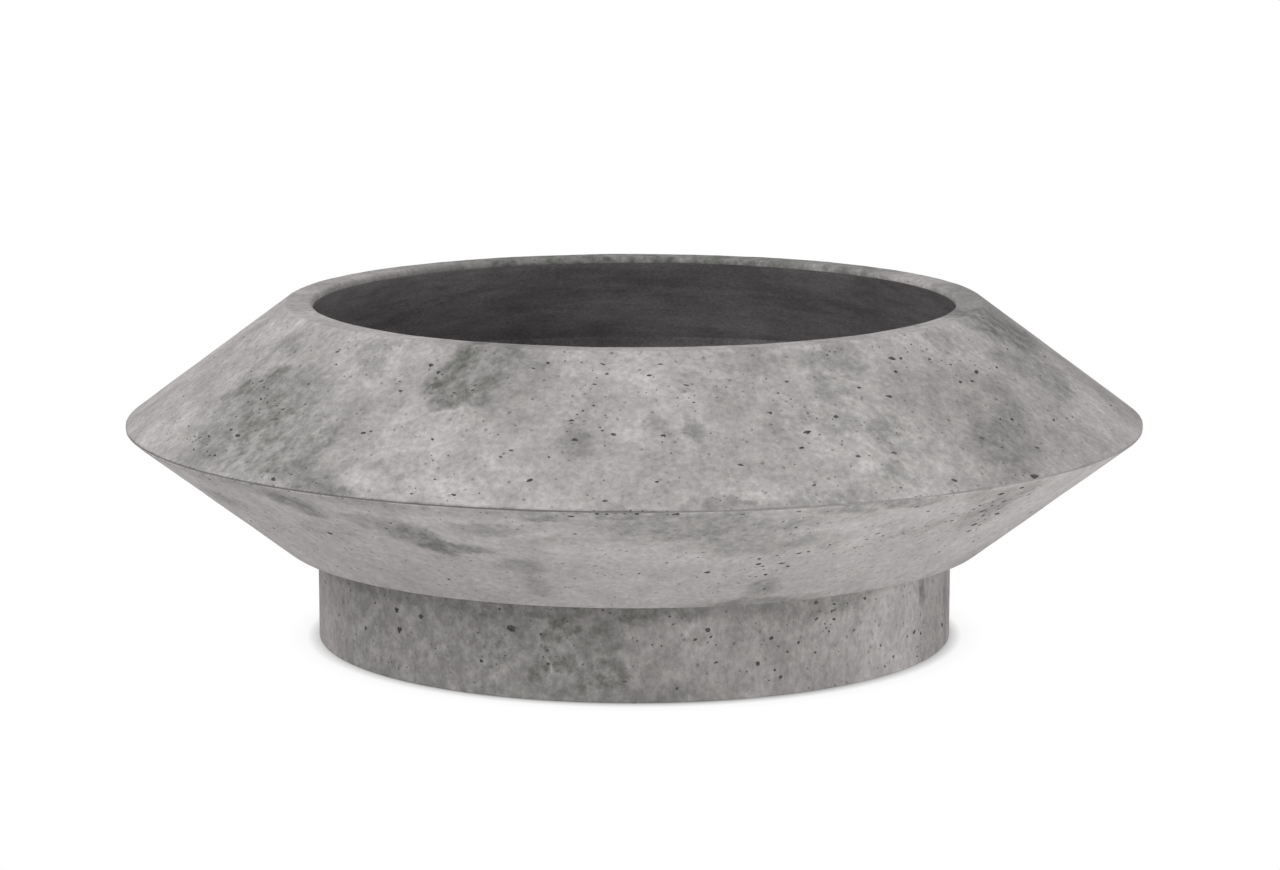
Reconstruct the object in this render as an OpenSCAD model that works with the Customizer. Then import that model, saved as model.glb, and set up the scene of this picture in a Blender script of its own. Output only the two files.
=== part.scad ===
// Concrete bowl planter: a double-cone bowl cast in two shells that meet at its widest edge,
// bolted down onto a hollow ring plinth, with a screw-plugged drain in the middle of its floor.
// Millimetres, +Z up, origin on the ground under the middle of the bowl.

/* [Bowl] */
// Diameter where the faces of the two cones would meet
girdle_d = 1200; // [1150:5:1300]
// Outer diameter of the flat rim
rim_d = 820; // [800:5:830]
// Diameter of the mouth inside the rim
mouth_d = 756; // [750:2:762]
// Diameter of the flat underside of the bowl
waist_d = 830; // [815:5:880]
// Height of the upper cone
upper_h = 141; // [130:1:160]
// Height of the lower cone
lower_h = 142; // [130:1:170]
// Thickness of the cone walls, measured square to their face
wall_t = 25; // [24:0.5:28]
// Thickness of the floor at the drain
floor_t = 30; // [27:1:38]
// Rise of the floor from the drain to the wall, so that water runs to the middle
floor_fall = 6; // [3:1:10]
// Radius of the cove between the floor and the wall
cove_r = 18; // [8:1:30]
// Rounding of the mouth edge
lip_r = 5.5; // [1:0.5:6]
// Rounding of the other cast edges
arris_r = 2; // [1:0.5:3]
// Rounding of the two sharp edges at the girdle
girdle_round = 0.8; // [0.4:0.2:1.2]

/* [Girdle joint] */
// Mortar bed between the two shells
joint_t = 1.5; // [1:0.5:4]
// How far the mortar is raked back from the shells' edges
joint_rake = 2; // [1.5:0.5:6]
// Width of the flat face where the shells are bonded
land_w = 62; // [56:1:80]
// Number of dowels across the joint
dowel_n = 12; // [6:1:24]
// Diameter of a dowel
dowel_d = 8; // [6:1:10]
// Length of a dowel
dowel_l = 30; // [20:1:36]
// Distance of the dowels from the girdle
dowel_inset = 40; // [36:1:44]
// Grout space round a dowel
dowel_clear = 0.2; // [0.1:0.1:0.6]

/* [Plinth] */
// Outer diameter of the plinth
plinth_d = 750; // [735:5:780]
// Height of the plinth ring
plinth_h = 113; // [100:1:140]
// Wall of the plinth at its top
plinth_wall = 30; // [27:1:34]
// Draft of the inner face over its height
plinth_draft = 3; // [1:0.5:4]
// Thickness of the rubber bedding under the bowl
bedding_t = 3; // [2:0.5:6]
// How far the bedding stays back from the edges of the plinth
bedding_inset = 5; // [3:0.5:8]
// Number of rubber feet
pad_n = 12; // [6:1:24]
// Diameter of a rubber foot
pad_d = 18; // [12:1:19]
// Depth of the pocket that holds a foot
pad_pocket = 2; // [1:0.5:4]
// Gap that the feet leave under the plinth
pad_stand = 1; // [1:0.5:4]

/* [Plinth bolts] */
// Number of bolts between bowl and plinth
bolt_n = 6; // [4:1:10]
// Radius of the bolt circle
bolt_circle_r = 320; // [312:1:324]
// Thread diameter of a bolt
bolt_d = 12; // [10:1:14]
// Length of a bolt under its head
bolt_l = 65; // [58:1:75]
// Width of a bolt head across its flats
bolt_af = 19; // [17:1:22]
// Height of a bolt head
bolt_head_h = 7.5; // [6:0.5:9]
// Clearance round a bolt in the floor and in its washers
bolt_hole_clear = 1; // [0.5:0.1:1.5]
// Clearance between a screw and its thread
thread_clear = 0.05; // [0.03:0.01:0.1]
// Concrete left under a bolt's sunk seat
seat_floor = 22; // [18:1:24]
// Diameter of a sunk bolt seat
seat_d = 40; // [38:1:48]
// Diameter of the washers
washer_d = 36; // [30:1:37]
// Thickness of the steel washer
washer_t = 2.5; // [2:0.5:4]
// Thickness of the rubber washer under it
seal_t = 2; // [1.5:0.5:3]
// Diameter of a boss inside the plinth
boss_d = 60; // [54:1:70]
// Width of the web that ties a boss to the wall
boss_web_w = 40; // [30:1:50]
// Thickness of the rib under a boss
boss_rib_t = 24; // [16:1:30]
// Outer diameter of a threaded socket
socket_d = 20; // [18:1:24]
// Diameter of a socket's foot, which locks it in the concrete
socket_foot_d = 32; // [28:1:38]
// Thickness of a socket's foot
socket_foot_t = 5; // [3:1:8]
// Free depth below a bolt's tip in its socket
socket_spare = 5; // [2:1:8]
// Concrete under a socket's foot
socket_cover = 10; // [6:1:14]

/* [Drain] */
// Bore of the drain body where the plug screws in
drain_bore = 48; // [46:0.5:50]
// Outer diameter of the drain body's threaded barrel
drain_barrel_d = 60; // [58:1:64]
// Diameter of the drain body's flange
drain_flange_d = 90; // [86:1:100]
// Thickness of the flange
drain_flange_t = 10; // [9:0.5:12]
// Rubber gasket under the flange
drain_gasket_t = 2; // [1.5:0.5:3]
// Clearance round the flange in its recess
drain_clear = 1; // [0.5:0.25:2]
// Clearance round the barrel in the floor
barrel_clear = 0.8; // [0.3:0.1:1]
// Width of the locknut across its flats
nut_af = 80; // [76:1:90]
// Height of the locknut
nut_h = 14; // [10:1:18]
// Thickness of the slip ring above the locknut
slip_t = 2; // [1:0.5:3]
// Thread that shows below the locknut
thread_spare = 3; // [1:0.5:6]
// Outer diameter of the outlet tail
tail_d = 50; // [46:0.5:52]
// Bore of the outlet tail
tail_bore = 42; // [38:0.5:43]
// Length of the outlet tail
tail_l = 28; // [15:1:34]

/* [Drain plug] */
// Diameter of the seat that takes the plug's flange
seat_ring_d = 64; // [62:1:70]
// Thickness of the plug's flange
plug_flange_t = 4.5; // [4:0.5:5]
// Clearance round the plug's flange
plug_flange_clear = 1; // [0.5:0.25:1.5]
// Depth of the plug's threaded barrel
plug_barrel_h = 18; // [12:1:24]
// Free bore left below the plug's barrel
plug_spare = 2; // [1:0.5:4]
// Wall of the plug's barrel
plug_wall = 4; // [3:0.5:6]
// Width of the plug's key across its flats
key_af = 27; // [22:1:30]
// Height of the plug's key
key_h = 14; // [8:1:18]
// Section of the O-ring
o_ring_d = 2.4; // [1.6:0.2:3]
// Space left above and below the O-ring
o_ring_clear = 0.05; // [0.03:0.01:0.1]

/* [Hidden] */
$fn = 96;
fillet_steps = 5;
overlap = 1;

// Radii of the main circles
girdle_r = girdle_d / 2;
rim_r = rim_d / 2;
mouth_r = mouth_d / 2;
waist_r = waist_d / 2;
plinth_r = plinth_d / 2;

// Heights over the ground, from the feet up
plinth_top_z = pad_stand + plinth_h;
bowl_z = plinth_top_z + bedding_t;
girdle_z = bowl_z + lower_h;
rim_z = girdle_z + upper_h;
floor_z = bowl_z + floor_t;
joint_low_z = girdle_z - joint_t / 2;
joint_high_z = girdle_z + joint_t / 2;

// Slopes of the cones over the horizontal, and the walls' width measured level
lower_slope = atan2(lower_h, girdle_r - waist_r);
upper_slope = atan2(upper_h, girdle_r - rim_r);
lower_wall_w = wall_t / sin(lower_slope);
upper_wall_w = wall_t / sin(upper_slope);
land_r = girdle_r - land_w;
lower_edge_r = girdle_r - joint_t / 2 / tan(lower_slope);
upper_edge_r = girdle_r - joint_t / 2 / tan(upper_slope);
mortar_r = min(lower_edge_r, upper_edge_r) - joint_rake;
function lower_inner_r(z) = waist_r + (z - bowl_z) / tan(lower_slope) - lower_wall_w;
function lower_inner_z(r) = bowl_z + (r + lower_wall_w - waist_r) * tan(lower_slope);
function upper_inner_z(r) = rim_z - (r + upper_wall_w - rim_r) * tan(upper_slope);
// The mouth's rounding has to fit on the short upright face under it
lip_round_r = min(lip_r, 0.8 * (rim_z - upper_inner_z(mouth_r)));

// Drain levels, down from the floor
drain_recess_r = drain_flange_d / 2 + drain_clear;
drain_recess_z = floor_z - drain_flange_t - drain_gasket_t;
seat_ring_z = floor_z - plug_flange_t - o_ring_d - 2 * o_ring_clear;
slip_z = bowl_z - slip_t;
nut_z = slip_z - nut_h;
barrel_z = nut_z - thread_spare;
tail_z = barrel_z - tail_l;
plug_flange_z = floor_z - plug_flange_t;
plug_z = plug_flange_z - plug_barrel_h;

// Bolt levels, down from the sunk seat
bolt_seat_z = bowl_z + seat_floor;
washer_z = bolt_seat_z + seal_t;
bolt_head_z = washer_z + washer_t;
bolt_tip_z = bolt_head_z - bolt_l;
socket_bore_z = bolt_tip_z - socket_spare;
socket_foot_z = socket_bore_z - socket_foot_t;
boss_z = socket_foot_z - socket_cover;

// Middle of the plinth's wall, which the webs of the bosses run into
boss_wall_r = plinth_r - plinth_wall / 2;

// Feet, centred on the plinth's wall where it is thinnest
pad_circle_r = plinth_r - (plinth_wall - plinth_draft) / 2;

// Points of the arc that rounds corner b of the path a, b, c.
function unit(v) = v / norm(v);
function round_corner(a, b, c, radius) =
    let (
        u = unit(a - b),
        v = unit(c - b),
        half = acos(u * v) / 2,
        reach = radius / tan(half),
        centre = b + unit(u + v) * radius / sin(half),
        from = b + u * reach - centre,
        to = b + v * reach - centre,
        turn = 180 - 2 * half,
        way = sign(from.x * to.y - from.y * to.x)
    )
    [for (i = [0 : fillet_steps])
        let (t = way * turn * i / fillet_steps)
        centre + [from.x * cos(t) - from.y * sin(t), from.x * sin(t) + from.y * cos(t)]];

// An outline whose corners are [r, z, radius], with the corners of radius 0 left sharp.
function outline(corners) = [
    for (i = [0 : len(corners) - 1])
        let (
            n = len(corners),
            here = corners[i],
            before = corners[(i + n - 1) % n],
            after = corners[(i + 1) % n],
            b = [here.x, here.y]
        )
        each here.z == 0 ? [b]
            : round_corner([before.x, before.y], b, [after.x, after.y], here.z)
];

module turned(corners) rotate_extrude($fn = 240) polygon(outline(corners));

module ring_of(count, radius)
    for (i = [0 : count - 1]) rotate([0, 0, 360 * i / count]) translate([radius, 0, 0]) children();

module disc(d, z0, z1) translate([0, 0, z0]) cylinder(d = d, h = z1 - z0);

module washer(outer_d, inner_d, z0, z1)
    difference() {
        disc(outer_d, z0, z1);
        disc(inner_d, z0 - overlap, z1 + overlap);
    }

// Hexagonal head with its corners turned off, as on a machined bolt or nut.
module hexagon(af, z0, z1)
    intersection() {
        translate([0, 0, z0]) cylinder(d = af / cos(30), h = z1 - z0, $fn = 6);
        translate([0, 0, z0]) cylinder(
            r1 = af / 2 + (z1 - z0) * 1.8,
            r2 = af / 2 * 1.04,
            h = z1 - z0
        );
    }

// Cast upper cone, with its flat rim and the bonding land along its lower edge.
module upper_shell()
    color([0.69, 0.67, 0.66]) difference() {
        turned([
            [upper_edge_r, joint_high_z, girdle_round],
            [rim_r, rim_z, arris_r],
            [mouth_r, rim_z, lip_round_r],
            [mouth_r, upper_inner_z(mouth_r), 1],
            [land_r, upper_inner_z(land_r), 0],
            [land_r, joint_high_z, 0],
        ]);
        dowel_holes();
    }

// Cast lower cone with the floor, which falls to the drain.
module lower_shell()
    color([0.67, 0.65, 0.64]) difference() {
        turned([
            [0, bowl_z, 0],
            [waist_r, bowl_z, arris_r],
            [lower_edge_r, joint_low_z, girdle_round],
            [land_r, joint_low_z, 0],
            [land_r, lower_inner_z(land_r), 0],
            [lower_inner_r(floor_z + floor_fall), floor_z + floor_fall, cove_r],
            [drain_recess_r, floor_z, 0],
            [0, floor_z, 0],
        ]);
        dowel_holes();
        disc(2 * drain_recess_r, drain_recess_z, floor_z + overlap);
        disc(drain_barrel_d + 2 * barrel_clear, bowl_z - overlap, floor_z);
        ring_of(bolt_n, bolt_circle_r) {
            disc(bolt_d + 2 * bolt_hole_clear, bowl_z - overlap, bolt_seat_z + overlap);
            disc(seat_d, bolt_seat_z, floor_z + floor_fall + overlap);
        }
    }

module dowel_holes()
    ring_of(dowel_n, girdle_r - dowel_inset)
        disc(dowel_d + 2 * dowel_clear, girdle_z - dowel_l / 2, girdle_z + dowel_l / 2);

// Bed of mortar between the shells, raked back so that it shows as a thin dark line.
module joint_mortar()
    color([0.33, 0.32, 0.31]) difference() {
        washer(2 * mortar_r, 2 * land_r, joint_low_z, joint_high_z);
        dowel_holes();
    }

// Stainless pins that line up the shells and carry the shear in the joint.
module joint_dowels()
    color([0.75, 0.76, 0.78]) ring_of(dowel_n, girdle_r - dowel_inset)
        disc(dowel_d, girdle_z - dowel_l / 2, girdle_z + dowel_l / 2);

// Cast ring foot, open underneath, with a boss inside the wall for each bolt.
module plinth_ring()
    color([0.55, 0.54, 0.53]) difference() {
        union() {
            turned([
                [plinth_r, pad_stand, arris_r],
                [plinth_r, plinth_top_z, arris_r],
                [plinth_r - plinth_wall, plinth_top_z, 0],
                [plinth_r - plinth_wall + plinth_draft, pad_stand, 0],
            ]);
            ring_of(bolt_n, bolt_circle_r) plinth_boss();
        }
        ring_of(bolt_n, bolt_circle_r) socket_body();
        ring_of(pad_n, pad_circle_r) disc(pad_d, pad_stand - overlap, pad_stand + pad_pocket);
    }

// Boss with its web to the wall, standing on a rib that runs down into the wall.
module plinth_boss() {
    reach = boss_wall_r - bolt_circle_r;
    disc(boss_d, boss_z, plinth_top_z);
    boss_web(boss_web_w, boss_z, plinth_top_z);
    translate([0, boss_rib_t / 2, 0]) rotate([90, 0, 0]) linear_extrude(boss_rib_t) polygon([
        [-boss_d / 4, boss_z],
        [-boss_d / 4, boss_z + overlap],
        [reach, boss_z + overlap],
        [reach, pad_stand + (boss_z - pad_stand) / 4],
    ]);
}

// Block from the axis of a boss out into the plinth's wall.
module boss_web(width, z0, z1)
    translate([0, -width / 2, z0]) cube([boss_wall_r - bolt_circle_r, width, z1 - z0]);

// Outer form of a cast-in socket: a sleeve with a foot that can't pull out.
module socket_body() {
    disc(socket_d, socket_foot_z, plinth_top_z);
    disc(socket_foot_d, socket_foot_z, socket_foot_z + socket_foot_t);
}

module threaded_sockets()
    color([0.72, 0.73, 0.75]) ring_of(bolt_n, bolt_circle_r) difference() {
        socket_body();
        disc(bolt_d + 2 * thread_clear, socket_bore_z, plinth_top_z + overlap);
    }

// Rubber sheet under the bowl, cut to the top of the plinth and its bosses.
module bedding_gasket()
    color([0.13, 0.13, 0.13]) difference() {
        union() {
            washer(2 * (plinth_r - bedding_inset),
                2 * (plinth_r - plinth_wall + bedding_inset / 2), plinth_top_z, bowl_z);
            ring_of(bolt_n, bolt_circle_r) {
                disc(boss_d - bedding_inset, plinth_top_z, bowl_z);
                boss_web(boss_web_w - bedding_inset, plinth_top_z, bowl_z);
            }
        }
        ring_of(bolt_n, bolt_circle_r)
            disc(bolt_d + 2 * bolt_hole_clear, plinth_top_z - overlap, bowl_z + overlap);
    }

module plinth_bolts()
    color([0.72, 0.73, 0.75]) ring_of(bolt_n, bolt_circle_r) {
        hexagon(bolt_af, bolt_head_z, bolt_head_z + bolt_head_h);
        disc(bolt_d, bolt_tip_z, bolt_head_z);
    }

module bolt_washers()
    color([0.78, 0.79, 0.81]) ring_of(bolt_n, bolt_circle_r)
        washer(washer_d, bolt_d + 2 * bolt_hole_clear, washer_z, bolt_head_z);

module bolt_seals()
    color([0.12, 0.12, 0.12]) ring_of(bolt_n, bolt_circle_r)
        washer(washer_d, bolt_d + 2 * bolt_hole_clear, bolt_seat_z, washer_z);

// Flanged drain body, clamped through the floor by its locknut.
module drain_body()
    color([0.2, 0.2, 0.21]) difference() {
        union() {
            disc(drain_flange_d, floor_z - drain_flange_t, floor_z);
            disc(drain_barrel_d, barrel_z, floor_z);
            disc(tail_d, tail_z, barrel_z);
        }
        disc(tail_bore, tail_z - overlap, floor_z);
        disc(drain_bore, plug_z - plug_spare, floor_z);
        disc(seat_ring_d, seat_ring_z, floor_z + overlap);
    }

module drain_gasket()
    color([0.12, 0.12, 0.12]) washer(drain_flange_d, drain_barrel_d + 2 * barrel_clear,
        drain_recess_z, drain_recess_z + drain_gasket_t);

// Ring that lets the locknut turn without dragging on the concrete.
module drain_slip_ring()
    color([0.8, 0.8, 0.78])
        washer(nut_af / cos(30), drain_barrel_d + 2 * barrel_clear, slip_z, bowl_z);

module drain_nut()
    color([0.2, 0.2, 0.21]) difference() {
        translate([0, 0, nut_z + slip_z]) mirror([0, 0, 1]) hexagon(nut_af, nut_z, slip_z);
        disc(drain_barrel_d + 2 * thread_clear, nut_z - overlap, slip_z + overlap);
    }

// Screw plug: a flange on the seat, a hollow threaded barrel, and a key for the spanner.
module drain_plug() {
    barrel_d = drain_bore - 2 * thread_clear;
    color([0.16, 0.16, 0.17]) difference() {
        union() {
            disc(seat_ring_d - 2 * plug_flange_clear, plug_flange_z, floor_z);
            disc(barrel_d, plug_z, plug_flange_z);
            hexagon(key_af, floor_z, floor_z + key_h);
        }
        disc(barrel_d - 2 * plug_wall, plug_z - overlap, plug_flange_z);
    }
}

// O-ring between the plug's flange and the seat.
module plug_o_ring() {
    mid_r = (drain_bore + seat_ring_d) / 4;
    color([0.1, 0.1, 0.1]) translate([0, 0, seat_ring_z + o_ring_clear + o_ring_d / 2])
        rotate_extrude() translate([mid_r, 0]) circle(d = o_ring_d, $fn = 32);
}

// Rubber feet, pressed into pockets under the plinth.
module foot_pads()
    color([0.12, 0.12, 0.12]) ring_of(pad_n, pad_circle_r) disc(pad_d, 0, pad_stand + pad_pocket);

upper_shell();
lower_shell();
joint_mortar();
joint_dowels();
plinth_ring();
bedding_gasket();
threaded_sockets();
plinth_bolts();
bolt_washers();
bolt_seals();
drain_body();
drain_gasket();
drain_slip_ring();
drain_nut();
drain_plug();
plug_o_ring();
foot_pads();
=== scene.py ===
# Concrete bowl planter: two cast cones bonded rim to rim, bolted down on a cast ring plinth,
# with a screw-plugged drain. Metres, +Z up, origin on the ground under the middle of the bowl.
import math
import random

import bmesh
import bpy
from mathutils import Matrix, Vector, noise


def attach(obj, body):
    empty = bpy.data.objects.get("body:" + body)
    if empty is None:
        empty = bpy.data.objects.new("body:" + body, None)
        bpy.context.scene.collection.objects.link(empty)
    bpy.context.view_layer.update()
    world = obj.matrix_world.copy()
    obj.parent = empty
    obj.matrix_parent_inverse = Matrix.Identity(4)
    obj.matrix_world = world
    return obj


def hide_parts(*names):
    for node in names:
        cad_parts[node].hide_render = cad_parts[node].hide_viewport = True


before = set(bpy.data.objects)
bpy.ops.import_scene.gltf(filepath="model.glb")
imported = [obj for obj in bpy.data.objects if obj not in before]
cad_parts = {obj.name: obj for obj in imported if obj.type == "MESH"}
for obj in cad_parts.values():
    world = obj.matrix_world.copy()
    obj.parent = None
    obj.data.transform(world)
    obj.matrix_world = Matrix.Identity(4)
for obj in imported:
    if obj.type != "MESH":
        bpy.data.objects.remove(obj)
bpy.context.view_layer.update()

# ---- Studio ---------------------------------------------------------------------------------
# A pale floor that runs out of view under an even sky of soft light, as in a packshot studio.
# The camera stands 4.8 m off and 1.07 m up, and looks down into the mouth by 9.9 degrees.


def linear(code):
    """Turns an sRGB hex colour such as "b2b0af" into linear red, green, blue and alpha."""
    parts = [int(code[i:i + 2], 16) / 255 for i in (0, 2, 4)]
    return [c / 12.92 if c < 0.04045 else ((c + 0.055) / 1.055) ** 2.4 for c in parts] + [1]


def emptied(owner):
    """Gives a material or the world an empty node tree and returns the tree."""
    owner.use_nodes = True
    owner.node_tree.nodes.clear()
    return owner.node_tree


def add(tree, kind, inputs=None, **settings):
    """Adds a shader node; inputs maps its sockets to values or to other nodes' outputs."""
    made = tree.nodes.new("ShaderNode" + kind)
    for key, value in settings.items():
        setattr(made, key, value)
    for socket, value in (inputs or {}).items():
        if isinstance(value, bpy.types.NodeSocket):
            tree.links.new(value, made.inputs[socket])
        else:
            made.inputs[socket].default_value = value
    return made


scene = bpy.context.scene
scene.view_settings.view_transform = "Standard"

camera = bpy.data.objects.new("camera", bpy.data.cameras.new("camera"))
camera.data.sensor_width = 36
camera.data.lens = 114.84
camera.location = (0, -4.767, 1.0672)
camera.rotation_euler = (math.radians(90 - 9.884), 0, math.radians(-0.0815))
scene.collection.objects.link(camera)
scene.camera = camera

# The floor is matt white. The camera sees it as plain white, but for the part near the planter,
# where up to two thirds of its real shading is kept, so that the shadow stays there.
floor_mesh = bmesh.new()
bmesh.ops.create_grid(floor_mesh, x_segments=1, y_segments=1, size=14)
floor = bpy.data.objects.new("floor", bpy.data.meshes.new("floor"))
floor_mesh.to_mesh(floor.data)
floor_mesh.free()
scene.collection.objects.link(floor)

white = bpy.data.materials.new("matt_white_floor")
tree = emptied(white)
shaded = add(tree, "BsdfDiffuse", {"Color": linear("eeeeee")})
plain = add(tree, "Emission", {"Color": linear("ffffff"), "Strength": 1})
rays = add(tree, "LightPath")
seen = add(tree, "Math", {0: rays.outputs["Is Camera Ray"], 1: rays.outputs["Is Glossy Ray"]},
           operation="MAXIMUM")
spot = add(tree, "TexCoord").outputs["Object"]
out = add(tree, "VectorMath", {0: spot}, operation="LENGTH")
near = add(tree, "MapRange", {"Value": out.outputs["Value"], "From Min": 0.374,
                              "From Max": 0.390, "To Min": 0.33, "To Max": 0.90})
far = add(tree, "MapRange", {"Value": out.outputs["Value"], "From Min": 0.376, "From Max": 0.42,
                             "To Max": 0.10}, interpolation_type="SMOOTHSTEP")
clear = add(tree, "Math", {0: near.outputs[0], 1: far.outputs[0]}, operation="ADD")
share = add(tree, "Math", {0: seen.outputs[0], 1: clear.outputs[0]}, operation="MULTIPLY")
mixed = add(tree, "MixShader", {0: share.outputs[0], 1: shaded.outputs[0], 2: plain.outputs[0]})
add(tree, "OutputMaterial", {"Surface": mixed.outputs[0]})
floor.data.materials.append(white)

# The sky looks white to the camera, and lights the scene with 0.38 of that.
world = bpy.data.worlds.new("studio_sky")
tree = emptied(world)
rays = add(tree, "LightPath")
seen = add(tree, "Math", {0: rays.outputs["Is Camera Ray"], 1: rays.outputs["Is Glossy Ray"]},
           operation="MAXIMUM")
level = add(tree, "MapRange", {"Value": seen.outputs[0], "To Min": 0.38, "To Max": 1.0})
sky = add(tree, "Background", {"Color": linear("ffffff"), "Strength": level.outputs[0]})
add(tree, "OutputWorld", {"Surface": sky.outputs[0]})
scene.world = world

# A large softbox lights the face from the left, and two weak ones lift the shade at the right.
for name, place, size, power in (
    ("softbox_left", (-3.4, -2.6, 3.6), 2.6, 132),
    ("softbox_low", (1.05, -1.55, 0.14), 0.26, 5),
    ("softbox_side", (4.2, -1.2, 0.7), 1.2, 30),
):
    lamp = bpy.data.lights.new(name, "AREA")
    lamp.size = size
    lamp.energy = power
    stand = bpy.data.objects.new(name, lamp)
    stand.location = place
    aim = Vector((0, 0, 0.25)) - Vector(place)
    stand.rotation_euler = aim.to_track_quat("-Z", "Y").to_euler()
    scene.collection.objects.link(stand)

# ---- Upper cone -----------------------------------------------------------------------------
# The upper half of the bowl, cast upside down in a steel mould from grey glass-fibre concrete.
# Its face has the air pores and cloudy tone that such a casting keeps when it isn't rendered.

# The circle where the faces of the two cones would meet, and their real edges at the joint.
GIRDLE_R = 0.6
GIRDLE_Z = 0.259
EDGE_R = 0.599
UPPER_LOW_Z = 0.25975
LOWER_TOP_Z = 0.25825
# The flat rim, and the mouth with a short upright edge that the slurry stops under.
RIM_R = 0.41
RIM_Z = 0.4
MOUTH_R = 0.378
MOUTH_LOW_Z = 0.39262
SLURRY_TOP_Z = 0.3925
# The bonding land's inner side, up to the cone's inner face, and the pins that cross the joint.
LAND_R = 0.538
UPPER_LAND_Z = 0.27388
PIN_CIRCLE_R = 0.56
PIN_HOLE_R = 0.0042
PIN_LOW_Z = 0.244
PIN_TOP_Z = 0.274
# Facets round each large turned piece.
STEPS = 360


def turned(corners, cuts, steps=STEPS):
    """Spins a closed outline about Z; corners are (r, z, rounding reach) and cuts divide sides."""
    bm = bmesh.new()
    points = [bm.verts.new((r, 0, z)) for r, z, _ in corners]
    sides = [bm.edges.new((points[i - 1], points[i])) for i in range(1, len(points))]
    sides.append(bm.edges.new((points[-1], points[0])))
    for side, count in zip(sides, cuts):
        if count:
            bmesh.ops.subdivide_edges(bm, edges=[side], cuts=count)
    for r, z, reach in corners:
        if reach:
            corner = min(bm.verts, key=lambda vert: (vert.co - Vector((r, 0, z))).length)
            bmesh.ops.bevel(bm, geom=[corner], offset=reach, offset_type="OFFSET",
                            affect="VERTICES", segments=4, profile=0.5, material=-1)
    bmesh.ops.spin(bm, geom=bm.verts[:] + bm.edges[:], cent=(0, 0, 0), axis=(0, 0, 1),
                   angle=2 * math.pi, steps=steps, use_merge=True)
    bmesh.ops.remove_doubles(bm, verts=bm.verts, dist=1e-6)
    bmesh.ops.delete(bm, geom=[edge for edge in bm.edges if edge.is_wire], context="EDGES")
    bmesh.ops.recalc_face_normals(bm, faces=bm.faces)
    return bm


def line(bm, inside):
    """Gives the faces that inside() accepts slot 2, for the slurry."""
    bm.normal_update()
    for face in bm.faces:
        middle = face.calc_center_median()
        if inside(middle, face.normal.dot(Vector((middle.x, middle.y, 0)).normalized())):
            face.material_index = 2


def sway(bm, keep, height=0.0004, wave=0.07):
    """Moves the vertices that keep() accepts by the faint unevenness of a worn mould."""
    bm.normal_update()
    for vert in bm.verts:
        if keep(vert.co):
            swell = noise.fractal(vert.co / wave, 1, 2, 3) + 0.35 * noise.noise(vert.co / 0.009)
            vert.co += vert.normal * swell * height


def pit(cutter, place, normal, width, length, depth, turn, shape):
    """Adds one air pore to the cutter: a rough little egg with its middle on the surface."""
    side = Vector((-normal.y, normal.x, 0)).normalized()
    side.rotate(Matrix.Rotation(turn, 3, normal))
    basis = Matrix((side * length / 2, normal.cross(side) * width / 2, normal * depth)).transposed()
    made = bmesh.ops.create_icosphere(cutter, subdivisions=3 if width > 0.003 else 2, radius=1)
    # A pore's faces take slot 1, the painted shade of its inside.
    for vert in made["verts"]:
        lump = 1 + 0.55 * noise.fractal(vert.co * 1.3 + Vector((shape, 0, 0)), 1, 2, 2)
        vert.co = place + basis @ (vert.co * lump)
        for face in vert.link_faces:
            face.material_index = 1


def cylinder(bm, radius, low, high, out=0, angle=0):
    """Adds an upright cylinder, for a round hole or a shank, at a distance from the bowl's axis."""
    place = Matrix.Rotation(angle, 4, "Z") @ Matrix.Translation((out, 0, (low + high) / 2))
    bmesh.ops.create_cone(bm, cap_ends=True, segments=48, radius1=radius, radius2=radius,
                          depth=high - low, matrix=place)


def pin_holes(cutter, low, high):
    """Adds the holes of the twelve pins to the cutter."""
    for number in range(12):
        cylinder(cutter, PIN_HOLE_R, low, high, PIN_CIRCLE_R, math.radians(30 * number))


def cut(name, bm, cutter, materials):
    """Makes the piece and takes the cutter out of it; the pores' faces keep slot 1."""
    piece = bpy.data.objects.new(name, bpy.data.meshes.new(name))
    bm.to_mesh(piece.data)
    bm.free()
    tool = bpy.data.objects.new(name + "_cutter", bpy.data.meshes.new(name + "_cutter"))
    bmesh.ops.recalc_face_normals(cutter, faces=cutter.faces)
    cutter.to_mesh(tool.data)
    cutter.free()
    for material in materials:
        piece.data.materials.append(material)
        tool.data.materials.append(material)
    scene.collection.objects.link(piece)
    scene.collection.objects.link(tool)
    taken = piece.modifiers.new("pores", "BOOLEAN")
    taken.object = tool
    taken.solver = "MANIFOLD"
    bpy.context.view_layer.update()
    shaped = piece.evaluated_get(bpy.context.evaluated_depsgraph_get())
    piece.data = bpy.data.meshes.new_from_object(shaped)
    piece.modifiers.clear()
    bpy.data.objects.remove(tool)
    piece.data.shade_smooth()
    piece.data.set_sharp_from_angle(angle=math.radians(32))
    return piece


def on_wall(low, high):
    """Returns a function from (angle in degrees, height in mm) to a place and normal on a wall.
    The wall runs straight from low to high, each of them (radius, height) in metres."""
    rise = high[1] - low[1]
    run = high[0] - low[0]

    def spot(angle, height):
        turn = math.radians(angle)
        out = low[0] + run * (height / 1000 - low[1]) / rise
        place = Vector((out * math.cos(turn), out * math.sin(turn), height / 1000))
        face = Vector((rise * math.cos(turn), rise * math.sin(turn), -run)).normalized()
        return place, face

    return spot


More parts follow.
